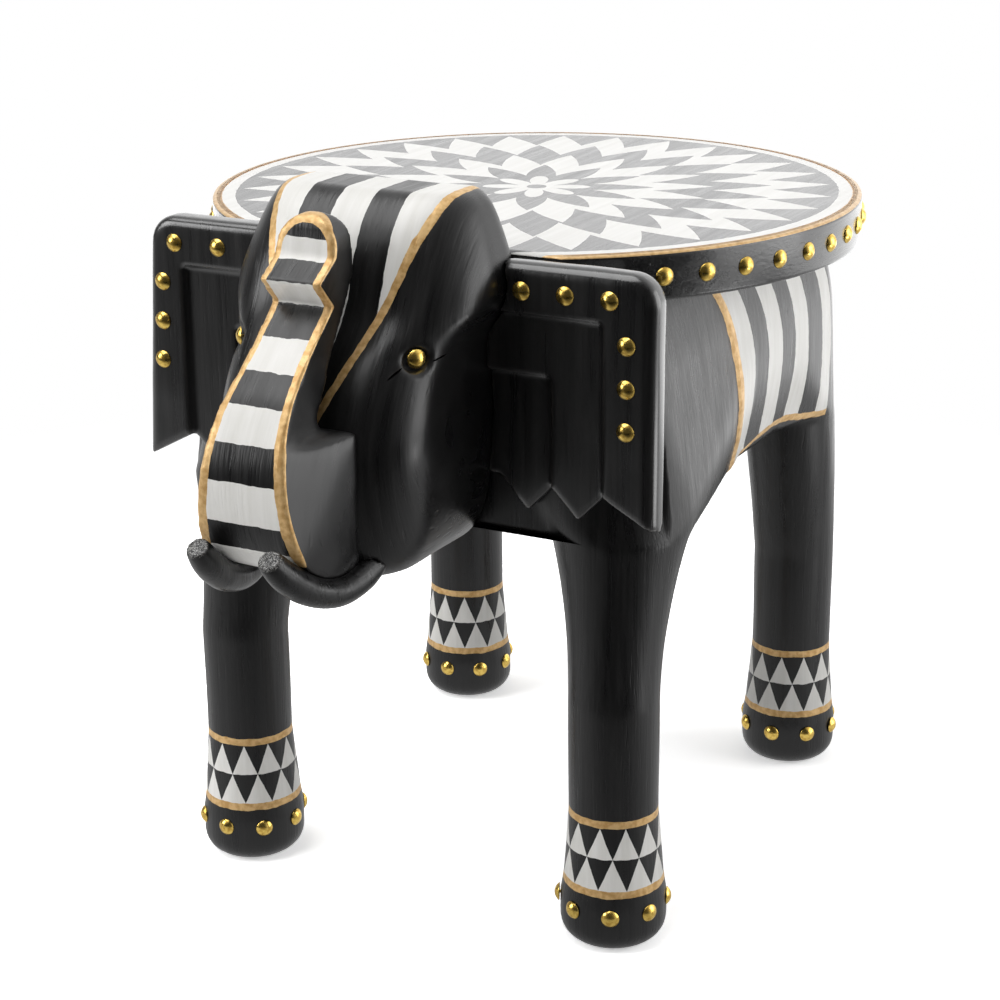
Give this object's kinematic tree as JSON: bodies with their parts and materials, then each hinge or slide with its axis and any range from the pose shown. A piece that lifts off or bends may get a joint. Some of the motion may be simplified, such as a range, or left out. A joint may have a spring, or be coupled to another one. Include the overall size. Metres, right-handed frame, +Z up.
{
  "type": "elephant pedestal stand",
  "caption": "Carved wooden elephant on sturdy legs that carries a round flat top on its back, painted black with white stripes and studded with brass nails",
  "frame": {"origin": "on the floor, under the middle of the whole outline", "axes": "+Z up out of the flat top; the elephant faces -Y; +X is the elephant's own left side"},
  "size_m": [0.4014, 0.5471, 0.4426],
  "materials": {
    "black_paint": "black satin paint over carved grain",
    "patterned_paint": "black and white painted pattern under clear varnish",
    "striped_paint": "black and white painted stripes, satin",
    "brass": "polished, domed",
    "bare_wood": "plain turned dowel"
  },
  "bodies": {
    "root": {"body_block": "black_paint", "head_block": "black_paint", "front_left_leg": "black_paint", "front_right_leg": "black_paint", "rear_left_leg": "black_paint", "rear_right_leg": "black_paint", "left_tusk": "black_paint", "right_tusk": "black_paint", "left_ear": "black_paint", "right_ear": "black_paint", "tail": "black_paint", "seat_edge_nails": "brass", "left_ear_nails": "brass", "right_ear_nails": "brass", "front_left_foot_nails": "brass", "front_right_foot_nails": "brass", "rear_left_foot_nails": "brass", "rear_right_foot_nails": "brass", "left_eye_nail": "brass", "right_eye_nail": "brass", "neck_dowels": "bare_wood", "seat_dowels": "bare_wood", "trunk_dowel": "bare_wood", "left_ear_dowels": "bare_wood", "right_ear_dowels": "bare_wood", "seat_top": "patterned_paint", "trunk": "striped_paint"}
  },
  "joints": []
}
